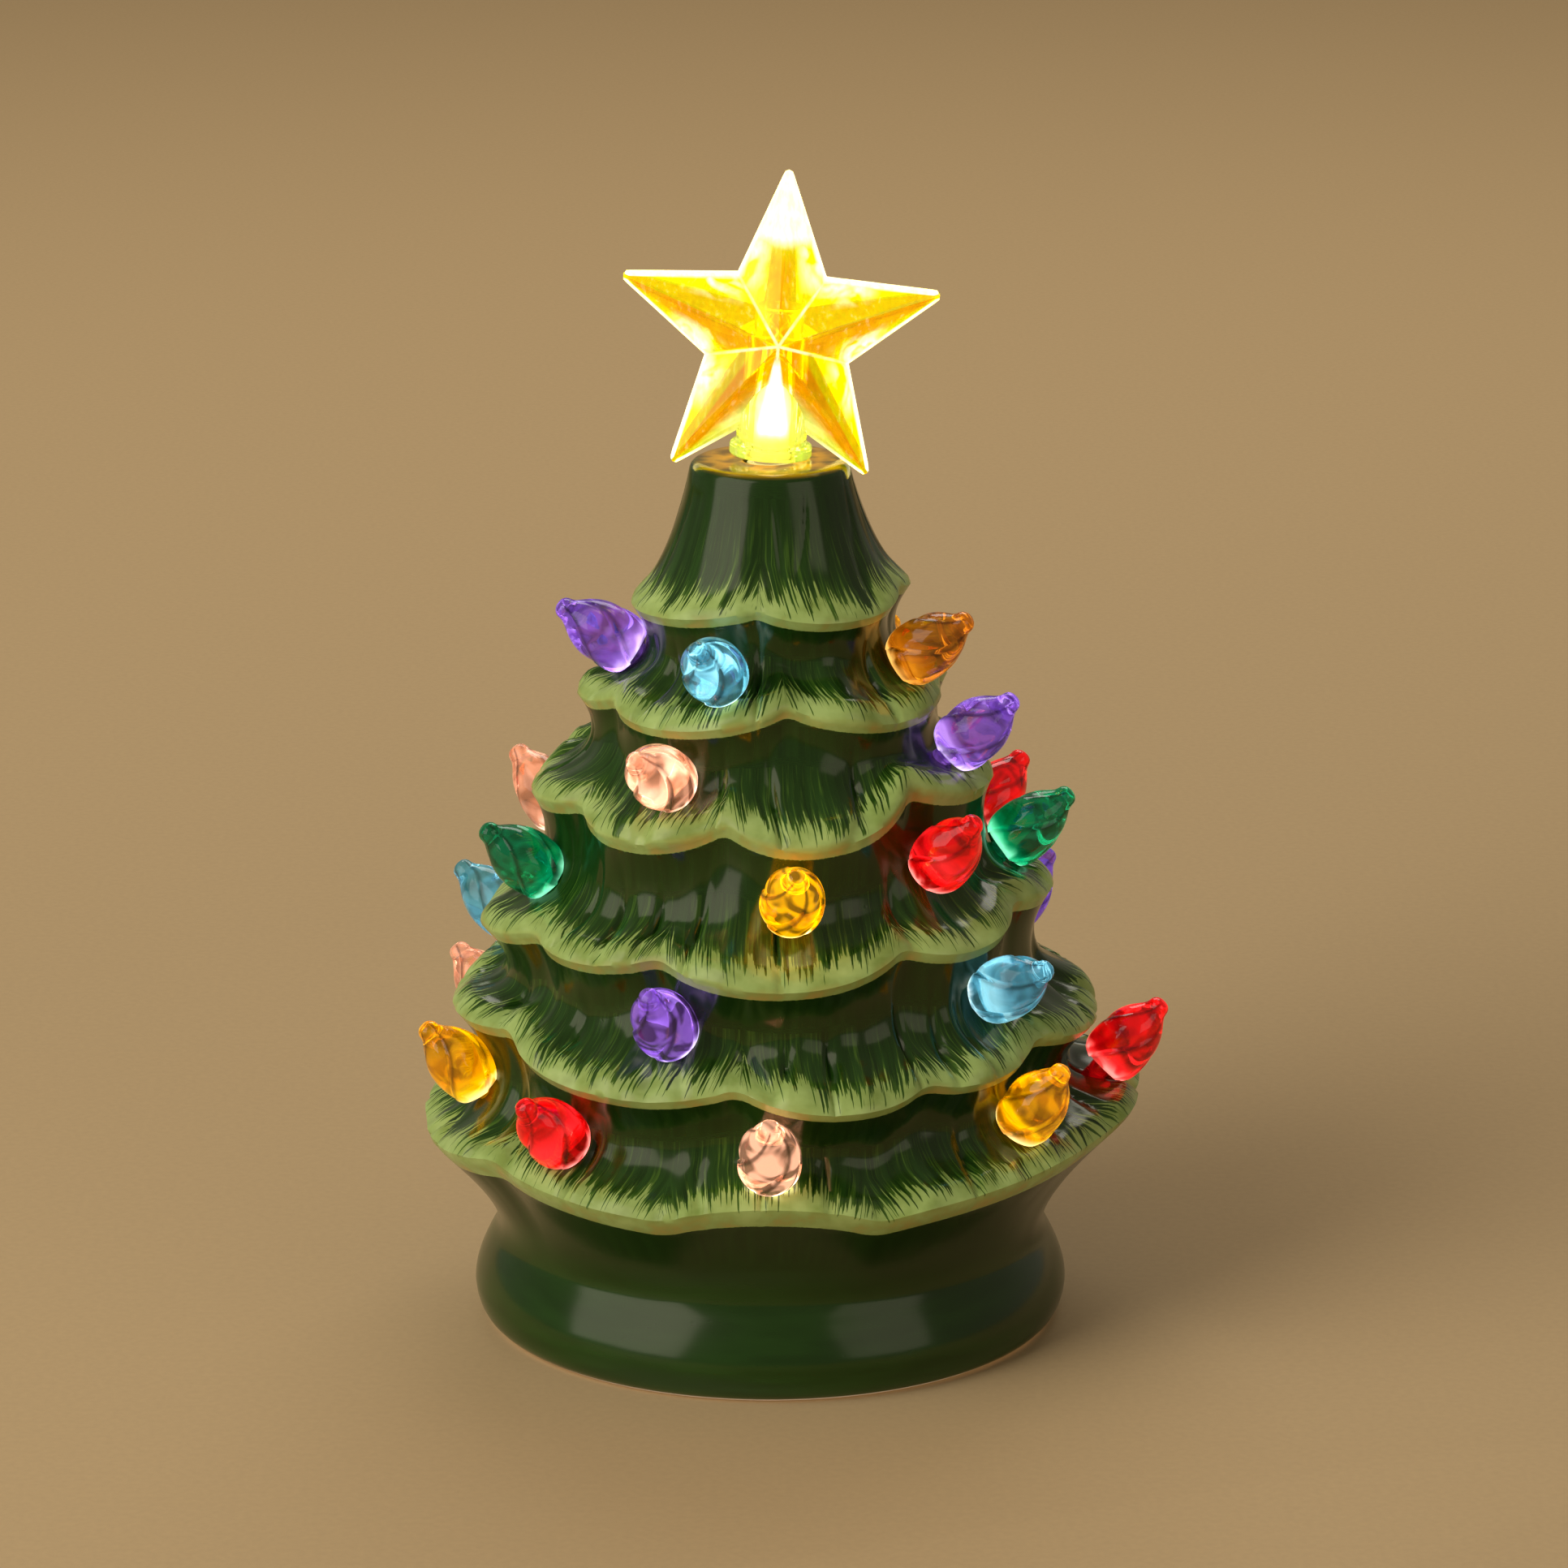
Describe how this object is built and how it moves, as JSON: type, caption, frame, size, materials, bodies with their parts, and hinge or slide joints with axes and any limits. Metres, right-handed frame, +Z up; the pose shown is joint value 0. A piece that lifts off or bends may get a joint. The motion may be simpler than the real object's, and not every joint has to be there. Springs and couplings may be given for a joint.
{
  "type": "christmas tree lamp",
  "caption": "Small battery lamp shaped as a tiered evergreen: glazed ceramic tree with pegged twist bulbs, a lit star and a battery case in its foot.",
  "frame": {"origin": "on the surface the lamp stands on, at the middle of the round foot", "axes": "+Z up along the tree's axis, -Y towards the front that the picture shows, +X to the viewer's right"},
  "size_m": [0.106, 0.1065, 0.1641],
  "materials": {
    "glaze": "gloss glaze, dark green with light green hems",
    "star_plastic": "clear yellow, lit from inside",
    "lamp_clear": "clear epoxy lamp, lit",
    "bulb_purple": "clear tinted",
    "bulb_light_blue": "clear tinted",
    "bulb_amber": "clear tinted",
    "bulb_pink": "clear tinted",
    "bulb_green": "clear tinted",
    "bulb_gold": "clear tinted",
    "bulb_red": "clear tinted",
    "post_plastic": "matte",
    "case_plastic": "fine matte",
    "steel": "plated",
    "cell_wrap": "shrink wrap, plain",
    "board_laminate": "satin",
    "black_plastic": "matte",
    "wire_red": "satin",
    "wire_black": "satin"
  },
  "bodies": {
    "lamp": {"battery_1": "cell_wrap", "battery_2": "cell_wrap", "battery_3": "cell_wrap", "bulb_amber_1": "bulb_amber", "bulb_gold_1": "bulb_gold", "bulb_gold_2": "bulb_gold", "bulb_gold_3": "bulb_gold", "bulb_gold_4": "bulb_gold", "bulb_gold_5": "bulb_gold", "bulb_green_1": "bulb_green", "bulb_green_2": "bulb_green", "bulb_green_3": "bulb_green", "bulb_green_4": "bulb_green", "bulb_green_5": "bulb_green", "bulb_light_blue_1": "bulb_light_blue", "bulb_light_blue_2": "bulb_light_blue", "bulb_light_blue_3": "bulb_light_blue", "bulb_light_blue_4": "bulb_light_blue", "bulb_light_blue_5": "bulb_light_blue", "bulb_pink_1": "bulb_pink", "bulb_pink_2": "bulb_pink", "bulb_pink_3": "bulb_pink", "bulb_pink_4": "bulb_pink", "bulb_pink_5": "bulb_pink", "bulb_purple_1": "bulb_purple", "bulb_purple_2": "bulb_purple", "bulb_purple_3": "bulb_purple", "bulb_purple_4": "bulb_purple", "bulb_purple_5": "bulb_purple", "bulb_red_1": "bulb_red", "bulb_red_2": "bulb_red", "bulb_red_3": "bulb_red", "bulb_red_4": "bulb_red", "bulb_red_5": "bulb_red", "case_cover": "case_plastic", "case_tray": "case_plastic", "ceramic_tree": "glaze", "contact_1": "steel", "contact_2": "steel", "contact_3": "steel", "contact_coil_1": "steel", "contact_coil_2": "steel", "contact_coil_3": "steel", "control_board": "board_laminate", "cover_screw_1": "steel", "cover_screw_2": "steel", "inner_lamp_1": "lamp_clear", "inner_lamp_2": "lamp_clear", "inner_lamp_3": "lamp_clear", "light_post": "post_plastic", "star_lamp": "lamp_clear", "switch_body": "black_plastic", "wire_black": "wire_black", "wire_red": "wire_red"},
    "star": {"star_topper": "star_plastic"},
    "switch_slider": {"switch_knob": "black_plastic"},
    "door": {"battery_door": "case_plastic", "door_screw": "steel"}
  },
  "joints": [
    {"name": "star_lift", "type": "slide", "parent": "lamp", "child": "star", "axis": [0.0663, 0, 0.9978], "range_m": [0, 0.03]},
    {"name": "switch_slide", "type": "slide", "parent": "lamp", "child": "switch_slider", "axis": [1, 0, 0], "range_m": [0, 0.004]},
    {"name": "door_swing", "type": "hinge", "parent": "lamp", "child": "door", "pos_m": [0, -0.01725, 0.0012], "axis": [-1, 0, 0], "range_deg": [0, 75]}
  ]
}
